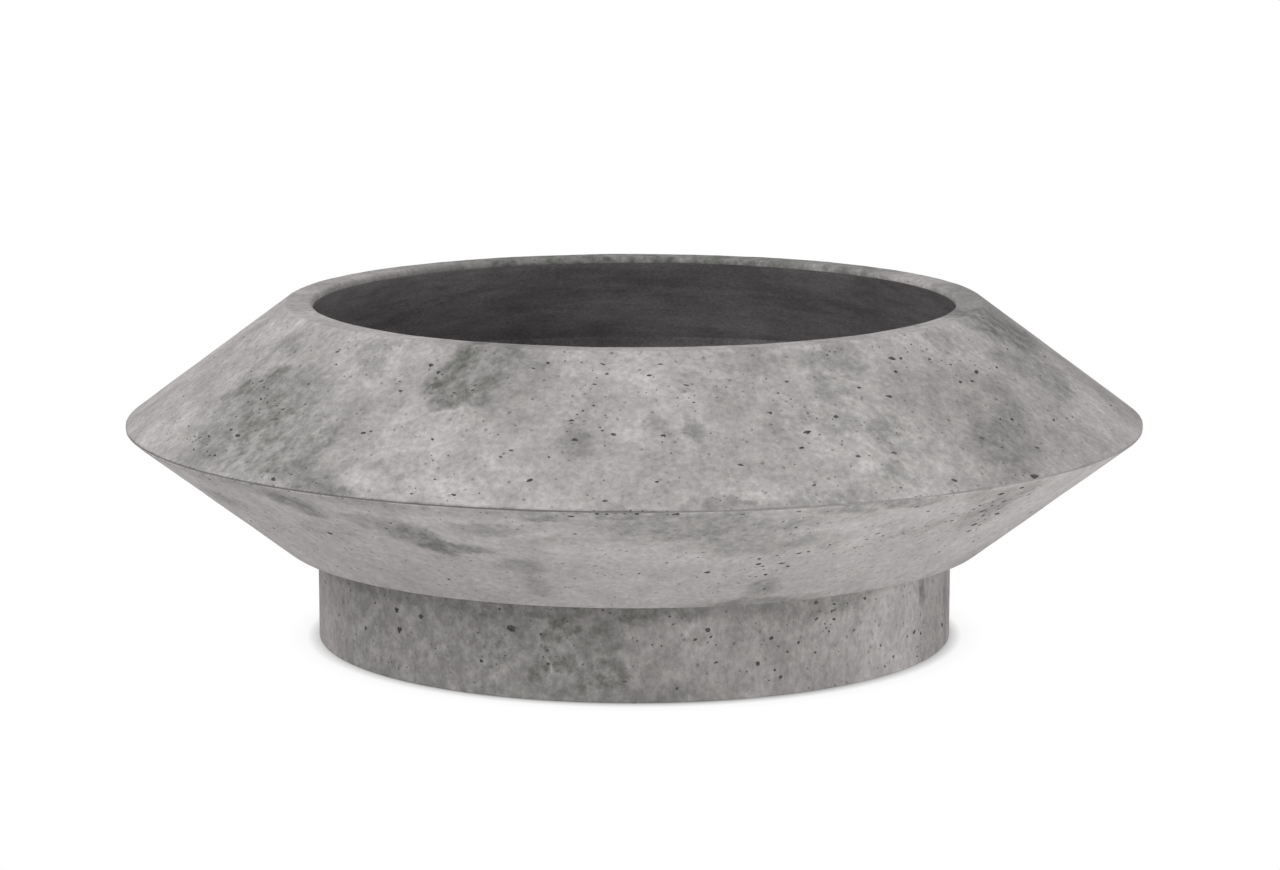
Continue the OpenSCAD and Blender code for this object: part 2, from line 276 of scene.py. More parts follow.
def scattered(low, high, count, seed):
    """Returns count small air pores at random, some of them in loose groups."""
    dice = random.Random(seed)
    angle = 0
    height = (low + high) / 2
    found = []
    for _ in range(count):
        if dice.random() < 0.5:
            angle = dice.uniform(-180, 180)
            height = dice.uniform(low, high)
        else:
            angle += dice.gauss(0, 1.8)
            height = min(high, max(low, height + dice.gauss(0, 12)))
        width = min(5, 1.3 + dice.expovariate(1.0))
        found.append((angle, height, width, width * dice.uniform(1, 2.2)))
    return found


def trail(seed, wander, size, *points):
    """Returns the pores and nicks along a fine crack through points of (angle, height)."""
    dice = random.Random(seed)
    found = []
    for start, end in zip(points, points[1:]):
        count = int(math.hypot((end[0] - start[0]) * 9, end[1] - start[1]) / 3.5)
        for step in range(count):
            share = step / count
            if dice.random() < 0.35:
                continue
            found.append((start[0] + (end[0] - start[0]) * share + dice.gauss(0, wander / 9),
                          start[1] + (end[1] - start[1]) * share + dice.gauss(0, wander),
                          size * dice.uniform(0.5, 1.6), size * dice.uniform(1.0, 4.0)))
    return found


def drill(cutter, spot, pores):
    """Adds air pores, each (angle in degrees, height, width, length in mm), to the cutter.
    A pore that would run into an earlier one is left out."""
    placed = []
    for angle, height, width, length in pores:
        place, face = spot(angle, height)
        if all((place - other).length > (length + reach) * 0.0007 for other, reach in placed):
            placed.append((place, length))
            pit(cutter, place, face, width / 1000, length / 1000, width * 0.00034,
                0.4 * math.sin(angle * 7), angle)


def concrete(name, pale, dark, seed, drawn, uneven, grime_and_shade, marks):
    """Cast concrete: a matt cement skin, cloudy in tone, with fine sand and tiny pores showing.
    drawn squeezes the pattern's axes, so that it runs along the one squeezed most; uneven is
    the mottling's strength; grime_and_shade is (height, reach, strength) of a darker band along
    a joint, in metres, which is painted shade on the plinth under the bowl; marks are (angle,
    height, half width, half height, tilt, strength) of damp patches and of painted shade, in
    degrees and mm."""
    material = bpy.data.materials.new(name)
    tree = emptied(material)
    place = add(tree, "TexCoord").outputs["Object"]
    moved = add(tree, "Mapping", {"Vector": place, "Location": (seed, seed / 2, 0)}).outputs[0]
    wiped = add(tree, "Mapping", {"Vector": moved, "Scale": drawn}).outputs[0]
    # Clouds about 180 mm across, where the mix settled differently.
    clouds = add(tree, "TexNoise", {"Vector": moved, "Scale": 5.5, "Detail": 4, "Roughness": 0.55})
    tone = add(tree, "MapRange", {"Value": clouds.outputs[0], "From Min": 0.36, "From Max": 0.64},
               interpolation_type="SMOOTHSTEP")
    base = add(tree, "Mix", {"Factor": tone.outputs[0], "A": linear(dark), "B": linear(pale)},
               data_type="RGBA")
    # Mottling about 30 mm across, drawn out along the way the mould was wiped.
    mottle = add(tree, "TexNoise", {"Vector": wiped, "Scale": 32, "Detail": 7, "Roughness": 0.66})
    light = add(tree, "MapRange", {"Value": mottle.outputs[0], "From Min": 0.3, "From Max": 0.7,
                                   "To Min": 1 - 0.22 * uneven, "To Max": 1 + 0.17 * uneven})
    # Sand and cement grain; the real 0.5 mm is drawn at 2 mm so that it shows from 5 m.
    grain = add(tree, "TexNoise", {"Vector": wiped, "Scale": 420, "Detail": 3, "Roughness": 0.7})
    speck = add(tree, "MapRange", {"Value": grain.outputs[0], "From Min": 0.25, "From Max": 0.75,
                                   "To Min": 0.9, "To Max": 1.08})
    value = add(tree, "Math", {0: light.outputs[0], 1: speck.outputs[0]}, operation="MULTIPLY")
    # Flecks 7 mm across of coarser and finer paste.
    fine = add(tree, "TexNoise", {"Vector": wiped, "Scale": 150, "Detail": 2, "Roughness": 0.6})
    fleck = add(tree, "MapRange", {"Value": fine.outputs[0], "From Min": 0.3, "From Max": 0.7,
                                   "To Min": 0.93 - 0.1 * uneven, "To Max": 1.06 + 0.09 * uneven})
    value = add(tree, "Math", {0: value.outputs[0], 1: fleck.outputs[0]}, operation="MULTIPLY")
    # Soft dark spots 4 mm across, one to each 20 mm or so, over pores just under the skin.
    blind = add(tree, "TexVoronoi", {"Vector": moved, "Scale": 85, "Randomness": 1})
    picked = add(tree, "SeparateColor", {"Color": blind.outputs["Color"]})
    hidden = add(tree, "MapRange", {"Value": blind.outputs["Distance"], "From Min": 0.05,
                                    "From Max": 0.24, "To Min": 0.55, "To Max": 1})
    rare = add(tree, "Math", {0: picked.outputs[1], 1: 0.6}, operation="LESS_THAN")
    hidden = add(tree, "Math", {0: hidden.outputs[0], 1: rare.outputs[0]}, operation="MAXIMUM")
    value = add(tree, "Math", {0: value.outputs[0], 1: hidden.outputs[0]}, operation="MULTIPLY")
    # Pale flecks of laitance 3 mm across, one to each 30 mm or so.
    lime = add(tree, "MapRange", {"Value": blind.outputs["Distance"], "From Min": 0.05,
                                  "From Max": 0.2, "To Min": 1.18, "To Max": 1})
    often = add(tree, "MapRange", {"Value": picked.outputs[2], "From Min": 0.86,
                                   "From Max": 0.87, "To Min": 1, "To Max": 1.3})
    lime = add(tree, "Math", {0: lime.outputs[0], 1: often.outputs[0]}, operation="MINIMUM")
    value = add(tree, "Math", {0: value.outputs[0], 1: lime.outputs[0]}, operation="MULTIPLY")
    shade = add(tree, "Mix", {"Factor": 1.0, "A": base.outputs["Result"],
                              "B": value.outputs[0]}, data_type="RGBA", blend_type="MULTIPLY")
    # Pin-head pores, one to each 9 mm or so, most of them filled. The open ones are painted
    # dark, as their shade.
    cells = add(tree, "TexVoronoi", {"Vector": moved, "Scale": 115, "Randomness": 1})
    inner = add(tree, "MapRange", {"Value": cells.outputs["Distance"], "From Min": 0.07,
                                   "From Max": 0.16, "To Min": 1, "To Max": 0})
    chosen = add(tree, "SeparateColor", {"Color": cells.outputs["Color"]})
    open_pore = add(tree, "Math", {0: chosen.outputs[0], 1: 0.8}, operation="GREATER_THAN")
    pores = add(tree, "Math", {0: inner.outputs[0], 1: open_pore.outputs[0]},
                operation="MULTIPLY")
    # Damp patches and painted shade: each fades out from its middle, its edge broken up by noise.
    split = add(tree, "SeparateXYZ", {"Vector": place})
    turn = add(tree, "Math", {0: split.outputs[1], 1: split.outputs[0]}, operation="ARCTAN2")
    along = add(tree, "Math", {0: turn.outputs[0], 1: 0.5}, operation="MULTIPLY")
    flat = add(tree, "CombineXYZ", {0: along.outputs[0], 1: split.outputs[2]})
    ragged = add(tree, "TexNoise", {"Vector": moved, "Scale": 24, "Detail": 5, "Roughness": 0.6})
    ragged = add(tree, "VectorMath", {0: ragged.outputs["Color"], 1: (0.5, 0.5, 0.5)},
                 operation="SUBTRACT")
    ragged = add(tree, "VectorMath", {0: ragged.outputs[0], "Scale": 0.05 * uneven},
                 operation="SCALE")
    flat = add(tree, "VectorMath", {0: flat.outputs[0], 1: ragged.outputs[0]}, operation="ADD")
    flat = add(tree, "VectorMath", {0: flat.outputs[0], 1: (1, 1, 0)}, operation="MULTIPLY")
    damp_and_shade = None
    for angle, height, wide, high, tilt, strength in marks:
        spot = add(tree, "Mapping", {
            "Vector": flat.outputs[0],
            "Location": (math.radians(angle) * 0.5, height / 1000, 0),
            "Rotation": (0, 0, math.radians(tilt)),
            "Scale": (wide / 1000, high / 1000, 1),
        }, vector_type="TEXTURE")
        fade = add(tree, "TexGradient", {"Vector": spot.outputs[0]}, gradient_type="SPHERICAL")
        fade = add(tree, "MapRange", {"Value": fade.outputs["Fac"], "From Min": 0.0,
                                      "From Max": 0.6, "To Max": strength},
                   interpolation_type="SMOOTHSTEP")
        if damp_and_shade:
            fade = add(tree, "Math", {0: damp_and_shade, 1: fade.outputs[0]}, operation="MAXIMUM")
        damp_and_shade = fade.outputs[0]
    # A darker band along the joint, patchy and heavier towards -X. On the plinth, just under
    # the bowl, this band is painted shade.
    joint, reach, strength = grime_and_shade
    away = add(tree, "Math", {0: split.outputs[2], 1: joint}, operation="SUBTRACT")
    away = add(tree, "Math", {0: away.outputs[0]}, operation="ABSOLUTE")
    close = add(tree, "MapRange", {"Value": away.outputs[0], "From Min": 0.0, "From Max": reach,
                                   "To Min": strength, "To Max": 0}, interpolation_type="SMOOTHSTEP")
    patchy = add(tree, "TexNoise", {"Vector": moved, "Scale": 7, "Detail": 5, "Roughness": 0.6})
    patchy = add(tree, "MapRange", {"Value": patchy.outputs[0], "From Min": 0.4,
                                    "From Max": 0.56, "To Min": 0.4, "To Max": 1})
    heavier_left = add(tree, "MapRange", {"Value": split.outputs[0], "From Min": -0.1,
                                     "From Max": 0.35, "To Min": 1, "To Max": 0.2})
    close = add(tree, "Math", {0: close.outputs[0], 1: patchy.outputs[0]}, operation="MULTIPLY")
    close = add(tree, "Math", {0: close.outputs[0], 1: heavier_left.outputs[0]}, operation="MULTIPLY")
    damp_and_shade = add(tree, "Math", {0: damp_and_shade, 1: close.outputs[0]}, operation="MAXIMUM").outputs[0]
    lacy = add(tree, "TexNoise", {"Vector": moved, "Scale": 60, "Detail": 6, "Roughness": 0.75})
    thin = add(tree, "MapRange", {"Value": lacy.outputs[0], "From Min": 0.38, "From Max": 0.6,
                                  "To Min": 1.0, "To Max": 0.4})
    damp_and_shade = add(tree, "Math", {0: damp_and_shade, 1: thin.outputs[0]}, operation="MULTIPLY")
    # Neither reaches in past the plinth's outer face.
    plan = add(tree, "VectorMath", {0: place, 1: (1, 1, 0)}, operation="MULTIPLY")
    out = add(tree, "VectorMath", {0: plan.outputs[0]}, operation="LENGTH")
    outer = add(tree, "MapRange", {"Value": out.outputs["Value"], "From Min": 0.36,
                                   "From Max": 0.372})
    damp_and_shade = add(tree, "Math", {0: damp_and_shade.outputs[0], 1: outer.outputs[0]}, operation="MULTIPLY")
    # Damp patches, the joint band and painted shade all darken towards this grey.
    wet_and_shaded = add(tree, "Mix", {"Factor": damp_and_shade.outputs[0], "A": shade.outputs["Result"],
                            "B": linear("676964")}, data_type="RGBA")
    # The open pin-head pores get their painted shade here.
    final = add(tree, "Mix", {"Factor": pores.outputs[0], "A": wet_and_shaded.outputs["Result"],
                              "B": linear("5a5755")}, data_type="RGBA")
    # Relief: mottling and flecks stand 1 mm, the grain 0.4 mm and the pores sink 0.6 mm.
    rise = add(tree, "Bump", {"Height": mottle.outputs[0], "Distance": 0.001, "Strength": 0.7})
    rise = add(tree, "Bump", {"Height": fine.outputs[0], "Distance": 0.001, "Strength": 0.7,
                              "Normal": rise.outputs[0]})
    rise = add(tree, "Bump", {"Height": grain.outputs[0], "Distance": 0.0004, "Strength": 0.5,
                              "Normal": rise.outputs[0]})
    rise = add(tree, "Bump", {"Height": pores.outputs[0], "Distance": 0.0006, "Strength": 0.8,
                              "Normal": rise.outputs[0]}, invert=True)
    dull = add(tree, "MapRange", {"Value": clouds.outputs[0], "To Min": 0.82, "To Max": 0.97})
    shader = add(tree, "BsdfPrincipled", {
        "Base Color": final.outputs["Result"], "Roughness": dull.outputs[0], "IOR": 1.5,
        "Specular IOR Level": 0.3, "Normal": rise.outputs[0]})
    add(tree, "OutputMaterial", {"Surface": shader.outputs[0]})
    return material


# The inside of a pore is painted dark, as its shade, and mottled over 2 mm.
painted_pore_shade = bpy.data.materials.new("painted_shade_in_pores")
tree = emptied(painted_pore_shade)
pore_shade = add(tree, "TexNoise", {"Vector": add(tree, "TexCoord").outputs["Object"], "Scale": 600})
pore_shade = add(tree, "Mix", {"Factor": pore_shade.outputs[0], "A": linear("484644"), "B": linear("807d7b")},
            data_type="RGBA")
shader = add(tree, "BsdfPrincipled", {"Base Color": pore_shade.outputs["Result"], "Roughness": 0.95,
                                      "IOR": 1.5, "Specular IOR Level": 0.2})
add(tree, "OutputMaterial", {"Surface": shader.outputs[0]})

# The inside is brushed with a dark waterproof slurry, in level strokes that stay visible.
slurry = bpy.data.materials.new("brushed_waterproof_slurry")
tree = emptied(slurry)
place = add(tree, "TexCoord").outputs["Object"]
wiped = add(tree, "Mapping", {"Vector": place, "Scale": (0.25, 0.6, 1.6)}).outputs[0]
# Brush strokes 14 mm wide and up to 90 mm long, over clouds 110 mm across.
strokes = add(tree, "TexNoise", {"Vector": wiped, "Scale": 45, "Detail": 6, "Roughness": 0.65})
clouds = add(tree, "TexNoise", {"Vector": place, "Scale": 9, "Detail": 4, "Roughness": 0.6})
mixed = add(tree, "Math", {0: strokes.outputs[0], 1: clouds.outputs[0]}, operation="ADD")
mixed = add(tree, "MapRange", {"Value": mixed.outputs[0], "From Min": 0.78, "From Max": 1.22})
# Sand that shows through the coat; the real 1 mm is drawn at 4 mm.
sand = add(tree, "TexNoise", {"Vector": place, "Scale": 240, "Detail": 3, "Roughness": 0.7})
sand = add(tree, "MapRange", {"Value": sand.outputs[0], "From Min": 0.3, "From Max": 0.7,
                              "To Min": 0.72, "To Max": 1.28})
tone = add(tree, "Mix", {"Factor": mixed.outputs[0], "A": linear("928f90"), "B": linear("b9b6b7")},
           data_type="RGBA")
# Painted shade: the coat darkens towards +X.
side = add(tree, "SeparateXYZ", {"Vector": place})
side = add(tree, "MapRange", {"Value": side.outputs[0], "From Min": 0.05, "From Max": 0.4,
                              "To Min": 1, "To Max": 0.78})
sand = add(tree, "Math", {0: sand.outputs[0], 1: side.outputs[0]}, operation="MULTIPLY")
tone = add(tree, "Mix", {"Factor": 1.0, "A": tone.outputs["Result"], "B": sand.outputs[0]},
           data_type="RGBA", blend_type="MULTIPLY")
rise = add(tree, "Bump", {"Height": strokes.outputs[0], "Distance": 0.0008, "Strength": 0.6})
shader = add(tree, "BsdfPrincipled", {
    "Base Color": tone.outputs["Result"], "Roughness": 0.9, "IOR": 1.5,
    "Specular IOR Level": 0.3, "Normal": rise.outputs[0]})
add(tree, "OutputMaterial", {"Surface": shader.outputs[0]})

# The marks of all three pieces began as spots picked one by one, or where a render differed most
# from the photograph. A program gave their angles and heights; sizes and strengths were set one by
# one.
upper_concrete = concrete(
    "cast_concrete_upper", "ccc8c7", "b4b0af", 3.1, (1, 1, 1), 1, (0.259, 0.004, 1.0),
    [
        # The dark patch under the rim.
        (-105.5, 386, 40, 10, 0, 0.6), (-109, 378, 80, 50, 0, 0.35), (-109, 390, 44, 16, 0, 0.75),
        (-110.5, 370, 36, 16, 0, 0.8), (-113, 352, 48, 14, 0, 0.9), (-115.5, 381, 34, 28, 0, 1.0),
        (-116, 364, 40, 24, 0, 1.0),
        # The damp area at the left.
        (-117, 290, 34, 14, 0, 0.4), (-124, 264, 60, 14, 0, 0.8), (-130, 306, 40, 24, 0, 0.8),
        (-131, 278, 60, 20, 0, 0.85), (-131, 377, 46, 20, 0, 0.5), (-132, 268, 120, 22, 0, 0.5),
        (-132, 386, 44, 14, 20, 0.5), (-137, 297, 80, 26, 0, 0.85), (-140, 316, 76, 34, 0, 0.9),
        (-140.5, 307, 168, 84, 0, 0.66), (-149.5, 338, 66, 22, 20, 0.9),
        (-151.8, 374, 60, 20, 0, 0.6),
        # Small clouds in the middle.
        (-72.4, 336, 16, 24, 0, 0.4), (-73, 388, 60, 16, 0, 0.45), (-74, 263, 150, 12, 0, 0.55),
        (-81.5, 371, 36, 14, 0, 0.4), (-82.5, 325, 16, 12, 0, 0.5), (-87, 330, 22, 14, 0, 0.4),
        (-96.4, 321, 26, 19, 0, 0.45),
        # The cloudy right half; its first, broad mark is painted shade.
        (-52, 325, 190, 90, 0, 0.22), (-58, 299, 22, 15, 0, 0.4), (-58.5, 312, 46, 24, 0, 0.6),
        (-60, 385, 76, 18, 0, 0.6), (-61, 278, 44, 16, 0, 0.55), (-62, 360, 46, 18, 0, 0.6),
        (-65, 337, 52, 24, 10, 0.5), (-14, 378, 130, 36, -8, 0.9), (-19, 335, 80, 40, 0, 0.6),
        (-22, 352, 90, 26, -10, 0.6), (-36, 330, 50, 26, 20, 0.45), (-36, 388, 46, 18, 0, 0.45),
        (-42, 298, 90, 40, 20, 0.65),
        # The back and its rim.
        (5, 398, 200, 26, 0, 0.4), (40, 320, 90, 40, 10, 0.5), (46, 402, 130, 24, 0, 0.8),
        (90, 402, 500, 30, 0, 1.0), (150, 310, 90, 36, 20, 0.5),
    ])

upper = turned(
    [(EDGE_R, UPPER_LOW_Z, 0.0024), (RIM_R, RIM_Z, 0.0008), (MOUTH_R, RIM_Z, 0.0055),
     (MOUTH_R, MOUTH_LOW_Z, 0.0004), (LAND_R, UPPER_LAND_Z, 0), (LAND_R, UPPER_LOW_Z, 0)],
    [24, 2, 0, 12, 0, 2])
line(upper, lambda co, out: out < -0.3 and co.z < SLURRY_TOP_Z)
sway(upper, lambda co: co.z > UPPER_LOW_Z + 0.0001 and math.hypot(co.x, co.y) > MOUTH_R - 0.001)
pores = bmesh.new()
upper_wall = on_wall((GIRDLE_R, GIRDLE_Z), (RIM_R, RIM_Z))
# Most single pores of this list, and of the lower cone's and the plinth's, have their places from
# a program that searched the photograph for dark specks. Seeded random ones could replace them.
drill(pores, upper_wall, [
    (-101.2, 285, 4.5, 7), (-38.7, 284, 3.5, 6), (-102.6, 388, 3.5, 5), (-78.2, 298, 3, 7),
    (-86.5, 325, 4, 5.5), (-92.5, 326, 3.5, 6.5), (-148.7, 342, 3, 7), (-123.8, 315, 4, 6),
    (-54.2, 270, 4, 7), (-50.8, 368, 4, 5), (-70.5, 310, 3.5, 7.5), (-48.0, 379, 4, 5),
    (-38.6, 349, 4, 5), (-45.9, 301, 3.5, 6), (-105.2, 304, 2.4, 5), (-38.2, 311, 3.5, 6),
    (-93.0, 269, 3, 6), (-94.5, 388, 2.5, 6.5), (-147.3, 288, 3.5, 6), (-58.5, 358, 3.5, 5),
    (-82.9, 369, 2.5, 6.5), (-86.2, 388, 2.5, 5), (-87.6, 285, 3, 5), (-87.9, 378, 3, 5),
    (-122.9, 317, 2.5, 4), (-146.8, 338, 3, 5), (-153.6, 290, 2.5, 4), (-43.2, 262, 7, 12),
    *trail(2, 3.5, 1.8, (-151, 281), (-145, 283)), *trail(5, 3, 1.6, (-112, 366), (-117, 344)),
    *trail(7, 0.3, 1.4, (-180, 260.3), (-118, 260.3)), *trail(9, 0.4, 2, (-94, 260.3), (-86, 260.3)),
    *trail(4, 0.3, 1, (-70, 260.3), (-44, 260.3)), *trail(15, 6, 2, (-147, 335), (-138, 322)),
    *scattered(266, 394, 330, 11)])
pin_holes(pores, GIRDLE_Z, PIN_TOP_Z)
upper_cone = cut("upper_cone", upper, pores, [upper_concrete, painted_pore_shade, slurry])
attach(upper_cone, "planter")
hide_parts("upper_shell")

# ---- Lower cone -----------------------------------------------------------------------------
# The lower half of the bowl with the floor, cast in its own mould from a slightly duller mix.
# The floor falls to the drain and has six sunk seats for the bolts.

# The bowl's lowest circle, and the height where its inner face meets the bonding land.
WAIST_R = 0.415
BOWL_Z = 0.117
LOWER_LAND_Z = 0.24293
# The floor at its lowest, the corner between wall and floor, and the recess for the drain.
FLOOR_Z = 0.147
COVE_R = 0.42084
COVE_Z = 0.153
RECESS_R = 0.046
RECESS_Z = 0.135
BARREL_HOLE_R = 0.0308
# The sunk seats of the bolts, and their holes.
BOLT_CIRCLE_R = 0.32
SEAT_R = 0.02
SEAT_Z = 0.139
BOLT_HOLE_R = 0.007

lower_concrete = concrete(
    "cast_concrete_lower", "d1cdcc", "c3bfbe", 8.7, (0.9, 1, 1.1), 0.6, (0.259, 0.02, 0.5),
    [
        # The left, below the damp area of the upper cone.
        (-103, 147, 24, 20, 0, 0.4), (-103.8, 179, 34, 14, 0, 0.5), (-106, 229, 50, 12, 5, 0.45),
        (-112, 197, 60, 12, 0, 0.75), (-115, 201, 34, 14, 0, 0.85),
        (-116.4, 213, 38, 20, 0, 0.85), (-121, 228, 50, 14, 0, 0.4), (-128, 205, 70, 20, 10, 0.2),
        (-130, 240, 46, 20, -20, 0.75), (-148, 215, 60, 16, 0, 0.4),
        # The middle, mostly along the joint and just above the plinth.
        (-64, 254, 100, 14, 0, 0.65), (-66.4, 240, 50, 10, 0, 0.3), (-67, 206, 28, 12, 0, 0.35),
        (-72, 122, 120, 11, 0, 0.65), (-72, 139, 32, 20, 0, 0.6), (-76, 212, 120, 24, 0, 0.5),
        (-82, 238, 170, 32, 0, 0.6), (-88.4, 243, 70, 18, 0, 0.45), (-91.4, 255, 34, 9, 0, 0.7),
        (-98, 219, 70, 9, 5, 0.3), (-99, 250, 34, 10, 0, 0.6),
        # The right, where the marks are partly painted shade, and the back.
        (-45, 230, 70, 30, 30, 0.5), (-45.8, 220, 50, 32, 0, 0.35), (-48, 248, 90, 12, 0, 0.4),
        (-53, 213, 90, 10, 15, 0.2), (30, 200, 90, 24, 10, 0.4), (120, 220, 90, 24, 0, 0.4),
    ])

lower = turned(
    [(BARREL_HOLE_R, BOWL_Z, 0), (WAIST_R, BOWL_Z, 0.001), (EDGE_R, LOWER_TOP_Z, 0.0024),
     (LAND_R, LOWER_TOP_Z, 0), (LAND_R, LOWER_LAND_Z, 0), (COVE_R, COVE_Z, 0.006),
     (RECESS_R, FLOOR_Z, 0), (RECESS_R, RECESS_Z, 0), (BARREL_HOLE_R, RECESS_Z, 0)],
    [8, 24, 2, 0, 10, 8, 0, 0, 0])
line(lower, lambda co, out: co.z > RECESS_Z - 0.0005 and out < 0.1
     and math.hypot(co.x, co.y) < LAND_R + 0.0005)
sway(lower, lambda co: co.z < LOWER_TOP_Z - 0.0001 and math.hypot(co.x, co.y) > WAIST_R + 0.0005)
pores = bmesh.new()
lower_wall = on_wall((WAIST_R, BOWL_Z), (GIRDLE_R, GIRDLE_Z))
drill(pores, lower_wall, [
    (-96.4, 253, 4, 7), (-48.6, 233, 3, 7), (-70.2, 173, 3.5, 5), (-66.5, 201, 3, 4),
    (-74.7, 187, 3.5, 5), (-73.1, 254, 2.5, 6), (-79.0, 254, 2.5, 6), (-43.1, 198, 3, 8),
    (-50.6, 215, 3, 6), (-40.3, 234, 3, 7), (-96.4, 228, 3, 5), (-59.8, 206, 3.5, 3.5),
    (-43.5, 220, 3, 7), (-68.7, 193, 3, 4), (-89.4, 170, 3, 4), (-71.5, 140, 3.5, 4),
    *trail(1, 1.5, 1.6, (-40, 249), (-42, 239), (-43.8, 229), (-43.7, 212), (-42.3, 187)),
    *trail(3, 1.2, 1.6, (-45.6, 237), (-49, 230), (-51, 217), (-55.5, 209), (-63.8, 188)),
    (-47.1, 246, 5, 10), (-44.3, 250, 4, 9), (-48.7, 235, 5, 12), (-43.4, 207, 4, 8),
    (-44.6, 201, 5, 9), (-43.9, 191, 4, 8), (-42.3, 212, 5, 11), (-42.9, 228, 5, 12),
    (-42.0, 239, 4, 10), (-46.5, 222, 4, 10), (-45.2, 214, 4, 7), (-51.7, 217, 4, 11),
    (-54.8, 210, 4, 8), (-59.6, 207, 4, 9), (-63.5, 190, 3.5, 6),
    *trail(6, 6, 2.8, (-43, 246), (-46, 229), (-44.5, 196)),
    *trail(14, 5, 2.2, (-48, 236), (-51.3, 214), (-57, 208), (-60.4, 206), (-63.2, 191)),
    *trail(10, 0.3, 1.4, (-160, 257.7), (-120, 257.7)), *trail(12, 0.8, 2.4, (-97, 257), (-85, 257)),
    *trail(13, 0.3, 1, (-60, 257.7), (-38, 257.7)),
    *scattered(124, 250, 190, 23)])
pin_holes(pores, PIN_LOW_Z, GIRDLE_Z)
for number in range(6):
    cylinder(pores, SEAT_R, SEAT_Z, 0.16, BOLT_CIRCLE_R, math.radians(60 * number))
    cylinder(pores, BOLT_HOLE_R, 0.11, SEAT_Z + 0.001, BOLT_CIRCLE_R, math.radians(60 * number))
lower_cone = cut("lower_cone", lower, pores, [lower_concrete, painted_pore_shade, slurry])
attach(lower_cone, "planter")
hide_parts("lower_shell")

# ---- Joint at the girdle --------------------------------------------------------------------
# A thin bed of grey cement mortar bonds the two cones, raked back 2 mm from their edges.
# Twelve stainless pins stand across it in grout.

MORTAR_R = 0.597

# Sandy mortar, rough from the raking iron, gives a dark, dry line without shine. Its grey is
# partly its own and partly painted shade of the groove. Its lumps run from 17 mm across down
# to the sand's own 0.3 mm, and stand 1 mm.
mortar = bpy.data.materials.new("raked_cement_mortar")
tree = emptied(mortar)
place = add(tree, "TexCoord").outputs["Object"]
lumps = add(tree, "TexNoise", {"Vector": place, "Scale": 60, "Detail": 6, "Roughness": 0.7})
tone = add(tree, "Mix", {"Factor": lumps.outputs[0], "A": linear("5e5b5a"), "B": linear("969392")},
           data_type="RGBA")
# Towards -X, where the groove is deeper, it is painted darker, as shade; towards +X, where
# the bed is fuller, it is paler.
side = add(tree, "SeparateXYZ", {"Vector": place})
side = add(tree, "MapRange", {"Value": side.outputs[0], "From Min": -0.1, "From Max": 0.2,
                              "To Min": 1, "To Max": 1.7})
tone = add(tree, "Mix", {"Factor": 1.0, "A": tone.outputs["Result"], "B": side.outputs[0]},
           data_type="RGBA", blend_type="MULTIPLY")
rise = add(tree, "Bump", {"Height": lumps.outputs[0], "Distance": 0.001, "Strength": 0.8})
shader = add(tree, "BsdfPrincipled", {"Base Color": tone.outputs["Result"], "Roughness": 0.95,
                                      "IOR": 1.5, "Normal": rise.outputs[0]})
add(tree, "OutputMaterial", {"Surface": shader.outputs[0]})

bed = turned([(LAND_R, LOWER_TOP_Z, 0), (MORTAR_R, LOWER_TOP_Z, 0), (MORTAR_R, UPPER_LOW_Z, 0),
              (LAND_R, UPPER_LOW_Z, 0)], [0, 3, 0, 0])
# Its outer face is ragged, and fuller towards +X, but nowhere over 0.5 mm past MORTAR_R.
for vert in bed.verts:
    if math.hypot(vert.co.x, vert.co.y) > MORTAR_R - 0.001:
        full = min(1, max(0, vert.co.x * 3 + 0.4)) * 0.0020
        ragged = min(1.0007, 1 + full + noise.fractal(vert.co / 0.03, 1, 2, 4) * 0.0012)
        vert.co.x *= ragged
        vert.co.y *= ragged
pins = bmesh.new()
pin_holes(pins, PIN_LOW_Z, PIN_TOP_Z)
mortar_bed = cut("mortar_bed", bed, pins, [mortar])
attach(mortar_bed, "planter")
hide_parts("joint_mortar")


def dress(material, *nodes):
    """Gives CAD nodes that stay in view their real finish."""
    for node in nodes:
        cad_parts[node].data.materials.clear()
        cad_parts[node].data.materials.append(material)


# Stainless steel drawn to bar: fine upright lines stretch its highlights, and faint stains 11 mm
# across darken it in places. The real lines, 0.1 mm apart, are drawn 0.4 mm apart.
steel = bpy.data.materials.new("drawn_stainless_steel")
tree = emptied(steel)
place = add(tree, "TexCoord").outputs["Object"]
drawn = add(tree, "Mapping", {"Vector": place, "Scale": (1, 1, 0.04)}).outputs[0]
lines = add(tree, "TexNoise", {"Vector": drawn, "Scale": 2500, "Detail": 2})
stain = add(tree, "TexNoise", {"Vector": place, "Scale": 90, "Detail": 4})
tone = add(tree, "Mix", {"Factor": stain.outputs[0], "A": linear("a9a8a5"), "B": linear("d2d1ce")},
           data_type="RGBA")
dull = add(tree, "MapRange", {"Value": lines.outputs[0], "To Min": 0.22, "To Max": 0.48})
rise = add(tree, "Bump", {"Height": lines.outputs[0], "Distance": 0.0001, "Strength": 0.25})
shader = add(tree, "BsdfPrincipled", {"Base Color": tone.outputs["Result"], "Metallic": 1.0,
                                      "Roughness": dull.outputs[0], "Normal": rise.outputs[0]})
add(tree, "OutputMaterial", {"Surface": shader.outputs[0]})
dress(steel, "joint_dowels")

# ---- Ring plinth ----------------------------------------------------------------------------
# A ring cast from the darker backing mix, open below, with a boss inside for each bolt.
# Its face was cast against a rolled steel shutter, which leaves faint upright streaks.

PLINTH_R = 0.375
PLINTH_LOW_Z = 0.001
PLINTH_TOP_Z = 0.114

